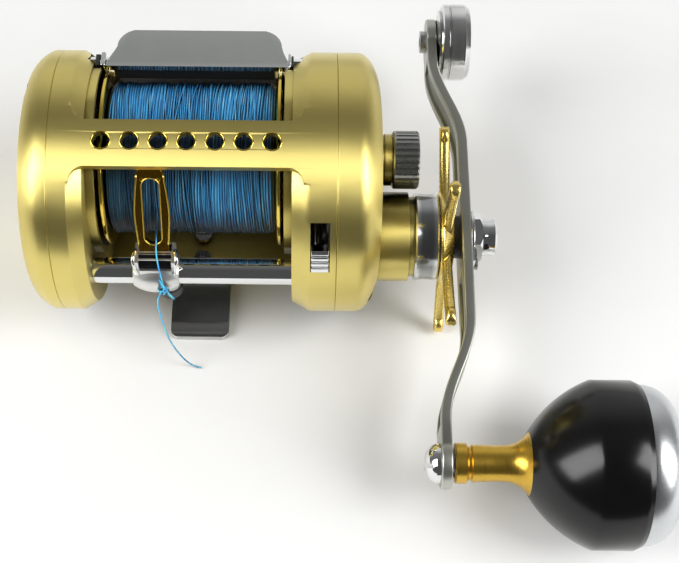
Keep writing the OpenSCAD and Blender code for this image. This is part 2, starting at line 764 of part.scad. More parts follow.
module counterweight_screw() color(steel) {
    difference() {
        union() {
            rod(weight_axis, arm_end_x - 1.7, arm_end_x, 3.3);
            rod(weight_axis, arm_end_x - 0.2, arm_end_x + arm_t + 5, 1.8);
        }
        on_axis(weight_axis, arm_end_x - 2.7) rotate(20) cylinder(r = 1.7, h = 2, $fn = 6);
    }
}

module knob_shaft() color(steel) {
    rod(knob_axis, arm_end_x, 112, 2.5);
}

module knob_screw() color(chrome) {
    difference() {
        turned(knob_axis, concat([[0, arm_end_x], [5.3, arm_end_x], [5.3, arm_end_x - 1.2]],
            arc([5.3, arm_end_x - 1.2], [0, arm_end_x - 4], 1.1, 6)));
        translate([arm_end_x - 4, knob_axis[0], knob_axis[1]]) rotate([35, 0, 0])
            cube([3.6, 1.2, 14], center = true);
    }
}

// Star drag with five curved arms that end in round tips.
module star_drag() color(deep_gold) {
    difference() {
        union() {
            turned(drive_axis, [[3, 67.7], [12.2, 67.7], [12.6, 68.1], [12.6, 68.6], [9, star_x[1]],
                [3, star_x[1]]]);
            for (k = [0:4]) on_axis(drive_axis, star_x[0]) rotate(27.5 + 72 * k) star_arm();
        }
        rod(drive_axis, 66, 74, thread_r + running);
    }
}

module star_arm() {
    tip = star_r - 2.6;
    linear_extrude(2.9) union() {
        polygon(concat(arc([5, -5.6], [tip, -1.7], 1.9, 6), arc([tip, 1.7], [5, 5.6], 1.9, 6)));
        translate([tip, 0]) circle(r = 2.6, $fn = 48);
    }
}

// ---- Knob ----

hub_x = [69.9, 89.1];

module knob_hub() color("#b8862b") {
    difference() {
        turned(knob_axis, concat([[0, hub_x[0]], [5, hub_x[0]], [5.3, hub_x[0] + 0.3],
            [5.3, hub_x[0] + 3], [4.4, hub_x[0] + 3.5], [4.4, hub_x[0] + 4.1], [4.9, hub_x[0] + 4.5],
            [4.7, hub_x[0] + 10]], arc([4.75, hub_x[0] + 13], [8.2, hub_x[1]], 0.9, 6),
            [[8.2, hub_x[1]], [6, hub_x[1]], [6, 101], [0, 101]]));
        rod(knob_axis, 69, 102, 2.5 + running);
        for (x = [69, 96.5]) rod(knob_axis, x, x + 4.6, 4);
    }
}

module knob_bearings() color(steel) {
    bearing(knob_axis, 70.2, 73.5, 4, 2.5 + running);
    bearing(knob_axis, 96.6, 100.9, 4, 2.5 + running);
}

// Plane between the knob's body and its cap.
knob_seam_x = 117.2;

module knob_body() color(black) {
    difference() {
        turned(knob_axis, concat([[0, hub_x[1]], [8.4, hub_x[1]]],
            arc([8.9, hub_x[1] + 0.3], [knob_r, 105.1], -1.6, 16),
            [[knob_r, 115.4], [knob_r - 0.8, knob_seam_x], [0, knob_seam_x]]));
        rod(knob_axis, 88, 101, 6);
        rod(knob_axis, 100, 113, 4.5);
    }
}

module knob_cap() color(chrome)
    turned(knob_axis, concat([[0, knob_seam_x], [knob_r - 1.2, knob_seam_x]],
        arc([knob_r - 1.1, knob_seam_x + 0.4], [14.5, 126.2], -1.9, 10),
        arc([14.5, 126.2], [0, 127.6], -0.4, 6)));

// ---- Level wind ----

module worm_shaft() color(steel) {
    rod(worm_axis, -29.6, 40.8, 1.5);
    difference() {
        rod(worm_axis, -26.4, 26.4, 2.5);
        for (x = [-21:3:21]) ring(worm_axis, x - 0.5, x + 0.5, 4, 1.9);
    }
}

module worm_gear() color("#c9c3a8") difference() {
    gear(worm_axis, wind_gear_x, worm_teeth, wind_line + 180 + 180 / worm_teeth);
    rod(worm_axis, 38, 42, 1.5);
}

block_half = 6.2;

module guide_block() color(chrome) {
    difference() {
        union() {
            turned(worm_axis, concat([[0, guide_x - block_half], [4.1, guide_x - block_half]],
                arc([4.2, guide_x - block_half], [4.2, guide_x + block_half], -1.8, 12),
                [[4.1, guide_x + block_half], [0, guide_x + block_half]]));
            translate([guide_x - 5.1, -34, 36]) cube([10.8, 6.6, 7.2]);
            translate([pawl_x, worm_axis[0], 25.6]) cylinder(r = 3, h = 6.4, $fn = 64);
        }
        rod(worm_axis, guide_x - 9, guide_x + 9, tube_r + 0.07);
        translate([guide_x - 4.1, -36, 39.2]) cube([8.8, 4.7, 6]);
        translate([guide_x - 4.1, -30, 38.4]) cube([8.8, 2.1, 6]);
        guide_frame() translate([-4.1, 1.2, -leaf_t / 2]) cube([8.8, 8, leaf_t]);
        translate([pawl_x, worm_axis[0], 24]) cylinder(r = 1.15, h = 8, $fn = 32);
        translate([pawl_x, worm_axis[0], 24]) cylinder(r = 2.6, h = 2.7, $fn = 48);
    }
    for (z = [40.3, 41.8]) translate([guide_x - 4.3, -32.4, z]) cube([9.2, 0.7, 0.45]);
}

// Local frame of the line guide: X across, Y up along the guide and Z out of its rear face.
module guide_frame() {
    translate([guide_x, guide_root[0], guide_root[1]]) rotate([90 - guide_tilt, 0, 0]) children();
}

module line_guide() color("#d3a233") {
    slot_r = 2.25;
    slot_y = [9.15, 24.4];
    difference() {
        guide_frame() translate([0, 0, -leaf_t / 2]) linear_extrude(leaf_t) union() {
            polygon([[-4, 1.3], [4, 1.3], [4.05, 6], [4.15, 9.3], [4.6, 12], [4.7, 16], [4.4, 21],
                [3.6, 28], [-3.6, 28], [-4.4, 21], [-4.7, 16], [-4.6, 12], [-4.15, 9.3], [-4.05, 6]]);
            translate([0, 27.3]) circle(r = 3.5, $fn = 64);
        }
        guide_frame() {
            for (y = slot_y) translate([0, y, -2]) cylinder(r = slot_r, h = 4, $fn = 64);
            translate([-slot_r, slot_y[0], -2]) cube([2 * slot_r, slot_y[1] - slot_y[0], 4]);
        }
    }
}

module guide_pawl() color(steel) {
    translate([pawl_x, worm_axis[0], 26.6]) cylinder(r = 1.05, h = worm_axis[1] - 2.65 - 26.6, $fn = 32);
    translate([pawl_x, worm_axis[0], 26.6]) cylinder(r = 1.15, h = 2.4, $fn = 32);
}

module pawl_cap() color(black) {
    translate([pawl_x, worm_axis[0], 24.4]) difference() {
        union() {
            cylinder(r = 3.4, h = 1.15, $fn = 48);
            cylinder(r = 2.6, h = 2.2, $fn = 48);
            difference() {
                cylinder(r = 3.4, h = 3, $fn = 48);
                translate([0, 0, 1]) cylinder(r = 3.05, h = 3, $fn = 48);
            }
        }
        translate([0, 0, -0.1]) cube([5, 0.8, 1], center = true);
    }
}

// ---- Free line ----

// Point on a smooth curve through the route, at t along leg i.
function route_at(i) = line_route[min(len(line_route) - 1, max(0, i))];
function route_point(i, t) =
    let (a = route_at(i - 1), b = route_at(i), c = route_at(i + 1), d = route_at(i + 2))
    0.5 * ((2 * b) + (c - a) * t + (2 * a - 5 * b + 4 * c - d) * t * t
        + (3 * b - 3 * c + d - a) * t * t * t);
line_path = concat(
    [for (i = [0:len(line_route) - 2], s = [0:line_steps - 1]) route_point(i, s / line_steps)],
    [line_route[len(line_route) - 1]]);
line_last = len(line_path) - 1;
function path_dir(i) =
    let (d = line_path[min(line_last, i + 1)] - line_path[max(0, i - 1)]) d / norm(d);
function path_side(i) = let (s = cross(path_dir(i), [1, 0.2, 0.1])) s / norm(s);

module free_line() color(line_blue) {
    m = 8;
    pts = [for (i = [0:line_last]) let (u = path_side(i), v = cross(path_dir(i), u))
        each coil_ring(line_path[i], u, v, line_d / 2, m)];
    polyhedron(pts, concat(
        [[for (j = [0:m - 1]) m - 1 - j]],
        [for (i = [0:line_last - 1], j = [0:m - 1])
            [i * m + j, i * m + (j + 1) % m, (i + 1) * m + (j + 1) % m, (i + 1) * m + j]],
        [[for (j = [0:m - 1]) line_last * m + j]]));
}

module line_knot() color(line_blue) translate([-7.6, -37, 34.7]) sphere(r = 1.1, $fn = 32);

// ---- Cast control ----

module cast_cap() color("#5c5e62") {
    knurls = 30;
    difference() {
        turned(spool_axis, [[6.3 + running, 54.5], [7.7, 54.5], [8.05, 54.9], [8.05, 61.2], [7.6, 61.7],
            [0, 61.7], [0, 58.3], [6.3 + running, 58.3]]);
        for (k = [0:knurls - 1])
            on_axis(spool_axis + 8.3 * [cos(360 * k / knurls), sin(360 * k / knurls)], 55.4)
            cylinder(r = 0.5, h = 7, $fn = 24);
    }
}

frame();
foot();
foot_screws();
palm_side_plate();
palm_plate_screws();
palm_bearing();
brake_ring();
levelwind_tube();
worm_bushings();
gear_plate();
handle_side_plate();
handle_plate_screws();
pinion_bearing();
roller_clutch();
drive_bearing();
neck_collar();
yoke_posts();
yoke_springs();
spool();
spool_shaft();
spool_line();
brake_hub();
brake_blocks();
click_gear();
shaft_pin();
clutch_yoke();
pinion();
clutch_bar();
clutch_bar_pad();
clutch_link();
drive_shaft();
levelwind_drive_gear();
main_gear();
drag_washers();
drag_plates();
drag_springs();
arm_spacer();
handle_arm();
nut_retainer();
handle_nut();
retainer_screw();
counterweight();
counterweight_screw();
knob_shaft();
knob_screw();
star_drag();
knob_hub();
knob_body();
knob_cap();
knob_bearings();
worm_shaft();
worm_gear();
guide_block();
line_guide();
guide_pawl();
pawl_cap();
free_line();
line_knot();
cast_cap();
clicker_button();
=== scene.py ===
import math
import random

import bmesh
import bpy
from mathutils import Matrix, Vector


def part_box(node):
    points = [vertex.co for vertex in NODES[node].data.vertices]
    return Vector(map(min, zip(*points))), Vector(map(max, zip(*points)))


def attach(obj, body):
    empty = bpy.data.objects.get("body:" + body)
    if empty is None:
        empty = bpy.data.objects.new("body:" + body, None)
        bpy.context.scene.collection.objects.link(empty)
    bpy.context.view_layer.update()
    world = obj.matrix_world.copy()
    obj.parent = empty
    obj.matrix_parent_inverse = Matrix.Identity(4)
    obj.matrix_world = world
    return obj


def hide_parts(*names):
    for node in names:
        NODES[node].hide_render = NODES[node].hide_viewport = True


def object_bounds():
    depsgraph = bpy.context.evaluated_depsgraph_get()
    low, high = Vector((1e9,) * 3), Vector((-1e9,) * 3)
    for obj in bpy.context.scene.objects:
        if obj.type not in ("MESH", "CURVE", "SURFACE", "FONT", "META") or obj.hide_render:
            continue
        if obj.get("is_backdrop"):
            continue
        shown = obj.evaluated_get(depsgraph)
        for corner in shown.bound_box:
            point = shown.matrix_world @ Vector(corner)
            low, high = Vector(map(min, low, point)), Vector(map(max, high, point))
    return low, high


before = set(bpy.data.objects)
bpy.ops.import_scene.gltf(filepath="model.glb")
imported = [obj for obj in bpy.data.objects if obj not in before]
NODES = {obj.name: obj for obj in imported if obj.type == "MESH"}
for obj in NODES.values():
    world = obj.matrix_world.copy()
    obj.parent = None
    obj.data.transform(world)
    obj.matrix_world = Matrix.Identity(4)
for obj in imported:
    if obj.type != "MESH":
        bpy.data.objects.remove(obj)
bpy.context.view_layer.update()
MM = 0.001
random.seed(7)


# ---- Camera ----

SENSOR_WIDTH = 36
LENS = 72.58
CAMERA_SHIFT = (0.0493, 0.0022)
CAMERA_AT = (0.0309, -0.2325, 0.3480)
LOOK_DOWN_DEG = 57.7
CAMERA_ROLL_DEG = 0.57

camera_data = bpy.data.cameras.new("camera")
camera_data.sensor_width = SENSOR_WIDTH
camera_data.lens = LENS
camera_data.shift_x, camera_data.shift_y = CAMERA_SHIFT
camera_data.clip_start = 0.01
camera = bpy.data.objects.new("camera", camera_data)
bpy.context.scene.collection.objects.link(camera)
camera.matrix_world = (
    Matrix.Translation(CAMERA_AT)
    @ Matrix.Rotation(math.radians(90 - LOOK_DOWN_DEG), 4, "X")
    @ Matrix.Rotation(math.radians(CAMERA_ROLL_DEG), 4, "Z")
)
bpy.context.scene.camera = camera


# ---- Mesh helpers ----

def add_object(name, data, body, material):
    """A visible piece that rides on a body, with the given material in its slot."""
    obj = bpy.data.objects.new(name, data)
    bpy.context.scene.collection.objects.link(obj)
    obj.data.materials.append(material)
    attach(obj, body)
    return obj


def mesh_from(name, verts, faces):
    """A smooth mesh from points in millimetres, with its faces turned outwards."""
    data = bpy.data.meshes.new(name)
    data.from_pydata([Vector(v) * MM for v in verts], [], faces)
    bm = bmesh.new()
    bm.from_mesh(data)
    bmesh.ops.recalc_face_normals(bm, faces=bm.faces)
    bm.to_mesh(data)
    bm.free()
    for p in data.polygons:
        p.use_smooth = True
    data.update()
    return data


def tube(verts, faces, points, radius, sides=8, closed=False):
    """Adds a round tube along points, in millimetres, to verts and faces."""
    pts = [Vector(p) for p in points]
    n = len(pts)
    start = len(verts)
    side = None
    for i, p in enumerate(pts):
        a = pts[(i - 1) % n] if closed or i > 0 else pts[0]
        b = pts[(i + 1) % n] if closed or i < n - 1 else pts[-1]
        d = (b - a).normalized()
        if side is None:
            side = d.cross(Vector((0.3, 0.2, 1))).normalized()
        side = (side - d * side.dot(d)).normalized()
        up = d.cross(side)
        for k in range(sides):
            t = 2 * math.pi * k / sides
            verts.append(p + (side * math.cos(t) + up * math.sin(t)) * radius)
    rings = n if closed else n - 1
    for i in range(rings):
        for k in range(sides):
            j = (i + 1) % n
            faces.append((start + i * sides + k, start + i * sides + (k + 1) % sides,
                          start + j * sides + (k + 1) % sides, start + j * sides + k))
    if not closed:
        faces.append(tuple(start + k for k in range(sides))[::-1])
        faces.append(tuple(start + (n - 1) * sides + k for k in range(sides)))


# ---- Materials ----

def node_material(name):
    material = bpy.data.materials.new(name)
    material.use_nodes = True
    tree = material.node_tree
    tree.nodes.clear()
    out = tree.nodes.new("ShaderNodeOutputMaterial")
    shader = tree.nodes.new("ShaderNodeBsdfPrincipled")
    tree.links.new(shader.outputs["BSDF"], out.inputs["Surface"])
    return material, tree, shader


def noise(tree, scale, detail=3.0, rough=0.5, stretch=(1, 1, 1)):
    """Noise in the piece's own coordinates, from 0 to 1."""
    coord = tree.nodes.new("ShaderNodeTexCoord")
    mapping = tree.nodes.new("ShaderNodeMapping")
    mapping.inputs["Scale"].default_value = stretch
    texture = tree.nodes.new("ShaderNodeTexNoise")
    texture.inputs["Scale"].default_value = scale
    texture.inputs["Detail"].default_value = detail
    texture.inputs["Roughness"].default_value = rough
    tree.links.new(coord.outputs["Object"], mapping.inputs["Vector"])
    tree.links.new(mapping.outputs["Vector"], texture.inputs["Vector"])
    return texture.outputs["Fac"]


def ramp(tree, value, stops):
    """Colour ramp over a value, from stops of (position, colour)."""
    node = tree.nodes.new("ShaderNodeValToRGB")
    elements = node.color_ramp.elements
    while len(elements) < len(stops):
        elements.new(0.5)
    for e, (pos, colour) in zip(elements, stops):
        e.position = pos
        e.color = tuple(colour) + (1,)
    tree.links.new(value, node.inputs["Fac"])
    return node.outputs["Color"]


def span(tree, value, low, high, from_low=0.3, from_high=0.7):
    """A value moved from one range to another."""
    node = tree.nodes.new("ShaderNodeMapRange")
    node.inputs["From Min"].default_value = from_low
    node.inputs["From Max"].default_value = from_high
    node.inputs["To Min"].default_value = low
    node.inputs["To Max"].default_value = high
    tree.links.new(value, node.inputs["Value"])
    return node.outputs["Result"]


def scaled(colour, k):
    return tuple(max(0.0, min(1.0, c * k)) for c in colour)


def shaded(tree, colour, low, reach=0.025):
    """Painted shade: darkens the colour by ambient occlusion where the surroundings close in on a surface."""
    hidden = tree.nodes.new("ShaderNodeAmbientOcclusion")
    hidden.samples = 6
    hidden.inputs["Distance"].default_value = reach
    mix = tree.nodes.new("ShaderNodeMix")
    mix.data_type = "RGBA"
    mix.blend_type = "MULTIPLY"
    mix.inputs[0].default_value = 1.0
    tree.links.new(colour, mix.inputs[6])
    dark_until, darkest, clear_from = low
    shade = ramp(tree, hidden.outputs["AO"], [(dark_until, (darkest,) * 3), (clear_from, (1, 1, 1))])
    tree.links.new(shade, mix.inputs[7])
    return mix.outputs[2]


ROUGH_SPREAD = 0.04


def finish(name, colour, metallic, rough, grain=2500.0, bump=0.05, depth=0.00002, spread=0.06,
           stretch=(1, 1, 1), patch=90.0, edge_wear_and_glint=0.0, edge_wear_and_glint_colour=None, around=0.0, specular=0.5, shade=None):
    """Metal, paint or plastic with slight colour patches, fine grain, painted shade where shade is given, and
    edges brightened partly by wear and partly as painted highlight.

    around is how far the gloss is drawn out by turning about the X axis.
    """
    material, tree, shader = node_material(name)
    links = tree.links
    shader.inputs["Metallic"].default_value = metallic
    shader.inputs["Specular IOR Level"].default_value = specular
    if around:
        shader.inputs["Anisotropic"].default_value = around
        shader.inputs["Anisotropic Rotation"].default_value = 0.25
        tangent = tree.nodes.new("ShaderNodeTangent")
        tangent.direction_type = "RADIAL"
        tangent.axis = "X"
        links.new(tangent.outputs["Tangent"], shader.inputs["Tangent"])
    patches = ramp(tree, noise(tree, patch, 4, 0.6), [
        (0.3, scaled(colour, 1 - spread)), (0.7, scaled(colour, 1 + spread))])
    if shade:
        patches = shaded(tree, patches, shade)
    fine = noise(tree, grain, 3, 0.6, stretch)
    # Edges lightened partly by wear and partly as painted highlight along the rounded rims.
    if edge_wear_and_glint:
        geometry = tree.nodes.new("ShaderNodeNewGeometry")
        edge = span(tree, geometry.outputs["Pointiness"], 0, edge_wear_and_glint, 0.51, 0.56)
        mix = tree.nodes.new("ShaderNodeMix")
        mix.data_type = "RGBA"
        links.new(edge, mix.inputs[0])
        links.new(patches, mix.inputs[6])
        mix.inputs[7].default_value = edge_wear_and_glint_colour + (1,)
        links.new(mix.outputs[2], shader.inputs["Base Color"])
    else:
        links.new(patches, shader.inputs["Base Color"])
    links.new(span(tree, fine, rough - ROUGH_SPREAD, rough + ROUGH_SPREAD), shader.inputs["Roughness"])
    node = tree.nodes.new("ShaderNodeBump")
    node.inputs["Strength"].default_value = bump
    node.inputs["Distance"].default_value = depth
    links.new(fine, node.inputs["Height"])
    links.new(node.outputs["Normal"], shader.inputs["Normal"])
    return material


# Stretch of the grain on pieces that are turned about the X axis.
TURNED = (1, 0.04, 0.04)

M = {
    # The frame's gold carries painted shade: it darkens where the frame closes in on itself, inside and under
    # the spool.
    "champagne_gold": finish("champagne_gold", (0.76, 0.635, 0.205), 1, 0.39, grain=5200, bump=0.08,
                             spread=0.03, patch=60, around=0.8, shade=(0.30, 0.10, 0.66)),
    "polished_gold": finish("polished_gold", (0.85, 0.62, 0.11), 1, 0.14, grain=1800, bump=0.04, spread=0.03),
    "orange_gold": finish("orange_gold", (0.66, 0.42, 0.065), 1, 0.30, grain=3000, bump=0.06,
                          stretch=TURNED, spread=0.05),
    "gold_nitride": finish("gold_nitride", (0.40, 0.21, 0.02), 1, 0.12, grain=1500, bump=0.03, spread=0.10),
    "chrome": finish("chrome", (0.80, 0.81, 0.81), 1, 0.07, grain=1300, bump=0.02, spread=0.03),
    # The foot's chrome is made dark as painted shade, so it reflects the spool's underside dimly; its bright
    # rims are partly painted highlight.
    "shaded_satin_chrome": finish("shaded_satin_chrome", (0.26, 0.26, 0.25), 1, 0.34, grain=2600, bump=0.08, spread=0.05,
                           edge_wear_and_glint=0.8, edge_wear_and_glint_colour=(0.85, 0.85, 0.83)),
    # A darker copy of chrome for the thumb bar: painted shade that dims what it reflects.
    "shaded_bar_chrome": finish("shaded_bar_chrome", (0.54, 0.56, 0.54), 1, 0.10, grain=1300, bump=0.02, spread=0.03,
                         edge_wear_and_glint=0.6, edge_wear_and_glint_colour=(0.88, 0.88, 0.88)),
    "collar_chrome": finish("collar_chrome", (0.34, 0.35, 0.35), 1, 0.16, grain=2200, bump=0.06,
                            stretch=TURNED, spread=0.04, edge_wear_and_glint=0.8, edge_wear_and_glint_colour=(0.85, 0.85, 0.84)),
    "satin_silver": finish("satin_silver", (0.74, 0.74, 0.72), 1, 0.36, grain=4200, bump=0.15, spread=0.03),
    "weight_chrome": finish("weight_chrome", (0.62, 0.63, 0.62), 1, 0.16, grain=2200, bump=0.06,
                            stretch=TURNED, spread=0.04, edge_wear_and_glint=0.8, edge_wear_and_glint_colour=(0.88, 0.88, 0.87)),
    "steel": finish("steel", (0.50, 0.50, 0.50), 1, 0.28, grain=3500, bump=0.10, stretch=TURNED),
    "brass": finish("brass", (0.72, 0.52, 0.22), 1, 0.28, grain=3000, bump=0.10, stretch=TURNED),
    "arm_grey": finish("arm_grey", (0.21, 0.215, 0.165), 1, 0.36, grain=4200, bump=0.25, depth=0.00003,
                       spread=0.06, edge_wear_and_glint=0.8, edge_wear_and_glint_colour=(0.78, 0.79, 0.74)),
    "gunmetal": finish("gunmetal", (0.20, 0.21, 0.19), 1, 0.28, grain=3500, bump=0.10, edge_wear_and_glint=0.5,
                       edge_wear_and_glint_colour=(0.6, 0.6, 0.58)),
    "star_gold": finish("star_gold", (0.86, 0.66, 0.20), 1, 0.27, grain=1800, bump=0.01, spread=0.04),
    "guide_shade_black": finish("guide_shade_black", (0.004, 0.004, 0.005), 0, 0.55, grain=5000, bump=0.10,
                          specular=0.08),
    "black_plastic": finish("black_plastic", (0.010, 0.010, 0.011), 0, 0.42, grain=5000, bump=0.25,
                            spread=0.2, edge_wear_and_glint=0.3, edge_wear_and_glint_colour=(0.05, 0.05, 0.05)),
    "brake_plastic": finish("brake_plastic", (0.62, 0.60, 0.50), 0, 0.45, grain=4000, bump=0.1),
    "knob_black": finish("knob_black", (0.003, 0.003, 0.003), 0, 0.20, grain=6000, bump=0.15, spread=0.2,
                         specular=0.38),
    "knob_silver": finish("knob_silver", (0.62, 0.64, 0.65), 1, 0.30, grain=4500, bump=0.05, spread=0.02),
}


def braid_material(name, painted_sheen_gain=1.0):
    """Braided line: blue strands in light and dark streaks, partly uneven tone and partly painted sheen on
    the strands and painted shade between them, with small flecks from the braid.
    """
    material, tree, shader = node_material(name)
    links = tree.links
    streak = noise(tree, 900, 3, 0.65, (2.6, 0.07, 0.07))
    fleck = noise(tree, 3200, 2, 0.6)
    mixed = tree.nodes.new("ShaderNodeMath")
    mixed.operation = "MULTIPLY_ADD"
    links.new(fleck, mixed.inputs[0])
    mixed.inputs[1].default_value = 0.22
    links.new(span(tree, streak, 0.05, 0.75), mixed.inputs[2])
    colour = ramp(tree, mixed.outputs[0], [
        (0.18, scaled((0.010, 0.10, 0.32), painted_sheen_gain)), (0.42, scaled((0.03, 0.25, 0.60), painted_sheen_gain)),
        (0.66, scaled((0.08, 0.48, 0.88), painted_sheen_gain)), (0.90, scaled((0.34, 0.78, 1.0), painted_sheen_gain))])
    # Painted shade: the line darkens strongly where the frame, tube and guide close in on it, most on its
    # lower front.
    links.new(shaded(tree, colour, (0.40, 0.04, 0.82), 0.05), shader.inputs["Base Color"])
    links.new(span(tree, fleck, 0.36, 0.5), shader.inputs["Roughness"])
    node = tree.nodes.new("ShaderNodeBump")
    node.inputs["Strength"].default_value = 0.3
    node.inputs["Distance"].default_value = 0.00005
    links.new(fleck, node.inputs["Height"])
    links.new(node.outputs["Normal"], shader.inputs["Normal"])
    return material


M["line_blue"] = braid_material("line_blue")
# The loose line is a lighter copy of the line's blue: painted light for the sheen it catches.
M["loose_blue_painted_sheen"] = braid_material("loose_blue_painted_sheen", 1.7)


# ---- Loose line and its knot ----

# The route of the CAD's free line, in millimetres.
LINE_ROUTE = [
    (-9.1, -21.0, 48.7), (-9.1, -23.2, 47.6), (-9.1, -25.6, 46.6), (-9.1, -28.4, 45.8),
    (-9.1, -30.4, 44.9), (-9.0, -31.9, 43.2), (-8.6, -33.6, 40.9), (-8.0, -35.6, 38.8),
    (-7.6, -36.5, 36.6), (-7.7, -36.8, 34.6), (-8.5, -37.0, 32.8), (-9.3, -37.3, 30.6),
    (-9.6, -37.8, 28.0), (-9.3, -38.4, 25.0), (-8.9, -39.0, 21.8), (-8.3, -39.6, 18.0),
    (-7.6, -40.1, 14.0), (-6.4, -40.6, 10.0), (-5.0, -41.0, 6.4), (-3.6, -41.2, 3.4),
    (-2.2, -41.4, 1.4), (-0.8, -41.7, 0.6), (0.8, -42.1, 0.5)]
LINE_D = 0.45


def smooth_route(points, steps):
    """A curve through the points, with the given steps between each two."""
    pts = [Vector(p) for p in points]
    out = []
    for i in range(len(pts) - 1):
        a, b = pts[max(0, i - 1)], pts[i]
        c, d = pts[i + 1], pts[min(len(pts) - 1, i + 2)]
        for s in range(steps):
            t = s / steps
            out.append(0.5 * (2 * b + (c - a) * t + (2 * a - 5 * b + 4 * c - d) * t * t
                              + (3 * b - 3 * c + d - a) * t ** 3))
    out.append(pts[-1])
    return out


line_points = smooth_route(LINE_ROUTE, 3)
line_curve = bpy.data.curves.new("loose_line", "CURVE")
line_curve.dimensions = "3D"
line_curve.bevel_depth = LINE_D / 2 * MM
line_curve.bevel_resolution = 3
line_curve.use_fill_caps = True
spline = line_curve.splines.new("POLY")
spline.points.add(len(line_points) - 1)
for point, p in zip(spline.points, line_points):
    point.co = (*(p * MM), 1)
spline.use_smooth = True
loose_line = add_object("loose_line", line_curve, "line_guide", M["loose_blue_painted_sheen"])
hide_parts("free_line")

knot_low, knot_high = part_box("line_knot")
knot_at = (knot_low + knot_high) / 2 / MM
knot_verts, knot_faces = [], []
KNOT_LOOPS = 8
for k in range(KNOT_LOOPS):
    turn = Matrix.Rotation(math.radians(180 * k / KNOT_LOOPS + 11), 3, "Z")
    tilt = turn @ Matrix.Rotation(math.radians(55 + 23 * k), 3, "X")
    size = 0.95 + 0.30 * math.sin(2.3 * k)
    centre = knot_at + Vector((0.35 * math.sin(1.7 * k), -0.2, 0.55 * math.cos(2.1 * k)))
    loop = []
    for i in range(26):
        t = 2 * math.pi * i / 26
        wave = 1 + 0.14 * math.sin(3 * t + k)
        loop.append(centre + tilt @ Vector((size * wave * math.cos(t), size * wave * math.sin(t) * 0.8,
                                            0.22 * math.sin(2 * t + 1.3 * k))))
    tube(knot_verts, knot_faces, loop, 0.2, 6, closed=True)
for k in range(5):
    top = knot_at + Vector((-0.9 + 0.16 * k, 0.9 - 0.3 * k, 3.6 - 0.5 * k))
    low = knot_at + Vector((1.4 + 0.32 * k, -0.7 - 0.05 * k, -1.6 - 0.42 * k))
    side = Vector((0.30 + 0.07 * k, -0.35, 0.16))
    loop = []
    for i in range(22):
        t = 2 * math.pi * i / 22
        along = (1 + math.cos(t)) / 2
        loop.append(low.lerp(top, along) + side * math.sin(t) * (0.9 + 0.3 * math.sin(t + k)))
    tube(knot_verts, knot_faces, loop, 0.17, 6, closed=True)
knot = add_object("line_knot_loops", mesh_from("line_knot_loops", knot_verts, knot_faces), "line_guide",
                  M["loose_blue_painted_sheen"])
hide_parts("line_knot")


# ---- Wound line on the spool ----

line_low, line_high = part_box("spool_line")
spool_y = (line_low.y + line_high.y) / 2 / MM
spool_z = (line_low.z + line_high.z) / 2 / MM
line_r = (line_high.z - line_low.z) / 2 / MM
line_x0, line_x1 = line_low.x / MM + 0.05, line_high.x / MM - 0.05
CORE_R = 12.2
STRAND_STEPS = 6


def on_spool(x, r, a):
    """Point at the angle a from straight up, forwards positive."""
    return Vector((x, spool_y - r * math.sin(a), spool_z + r * math.cos(a)))


def wound_line():
    """The wound layer: strands of uneven width and height that lean a little as they go round."""
    around = 144
    edges = [0.0]
    while edges[-1] < 1:
        edges.append(edges[-1] + random.uniform(0.012, 0.020))
    edges = [e / edges[-1] for e in edges]
    heights = [random.uniform(-0.16, 0.16) for _ in edges]
    phases = [random.uniform(0, 2 * math.pi) for _ in edges]
    columns = []
    for k in range(len(edges) - 1):
        for i in range(STRAND_STEPS):
            columns.append((k, i / STRAND_STEPS))
    columns.append((len(edges) - 2, 1.0))
    verts, faces = [], []
    width = line_x1 - line_x0
    for j in range(around):
        a = 2 * math.pi * j / around
        for k, t in columns:
            u = edges[k] + (edges[k + 1] - edges[k]) * t
            inside = min(1, min(u, 1 - u) * 12)
            lean = 0.010 * math.sin(a * 2 + 4 * u) + 0.006 * math.sin(a * 3 - 13 * u + 1.2)
            x = line_x0 + width * (u + lean * inside)
            crown = math.sin(math.pi * t) ** 0.6
            level = (heights[k] * math.sin(2 * a + phases[k]) + 0.10 * math.sin(9.5 * u + 1.1 * math.sin(a))
                     + 0.05 * math.sin(31 * u + a))
            edge = min(u, 1 - u) * width
            drop = 1.4 * (1 - min(1, edge / 1.6)) ** 2
            verts.append(on_spool(x, line_r - 0.75 + 0.36 * crown + level - drop, a))
    row = len(columns)
    last = row - 1
    for j in range(around):
        k = (j + 1) % around
        for i in range(last):
            faces.append((j * row + i, k * row + i, k * row + i + 1, j * row + i + 1))
    inner = len(verts)
    for j in range(around):
        a = 2 * math.pi * j / around
        verts.append(on_spool(line_x0, CORE_R, a))
        verts.append(on_spool(line_x1, CORE_R, a))
    for j in range(around):
        k = (j + 1) % around
        faces.append((j * row, inner + 2 * j, inner + 2 * k, k * row))
        faces.append((j * row + last, k * row + last, inner + 2 * k + 1, inner + 2 * j + 1))
        faces.append((inner + 2 * j, inner + 2 * j + 1, inner + 2 * k + 1, inner + 2 * k))
    return mesh_from("wound_line", verts, faces)


def crossing_strands():
    """Single turns of the last layer, which cross the layer below at a small angle."""
    verts, faces = [], []
    golden = 0.618
    for k in range(60):
        x0 = line_x0 + 1.5 + (line_x1 - line_x0 - 3) * ((k * golden) % 1.0)
        lean = (1 if k % 3 else -1) * random.uniform(0.8, 4.0)
        a0 = random.uniform(0, 2 * math.pi)
        turn = random.uniform(1.4, 4.2)
        points = []
        for i in range(36):
            t = i / 35
            a = a0 + turn * t
            sink = 0.55 * (abs(2 * t - 1) ** 6)
            x = x0 + lean * (t - 0.5) + 0.2 * math.sin(7 * t + k)
            x = min(line_x1 - 0.5, max(line_x0 + 0.5, x))
            points.append(on_spool(x, line_r - 0.27 - sink, a))
        tube(verts, faces, points, LINE_D / 2, 6)
    return mesh_from("crossing_strands", verts, faces)


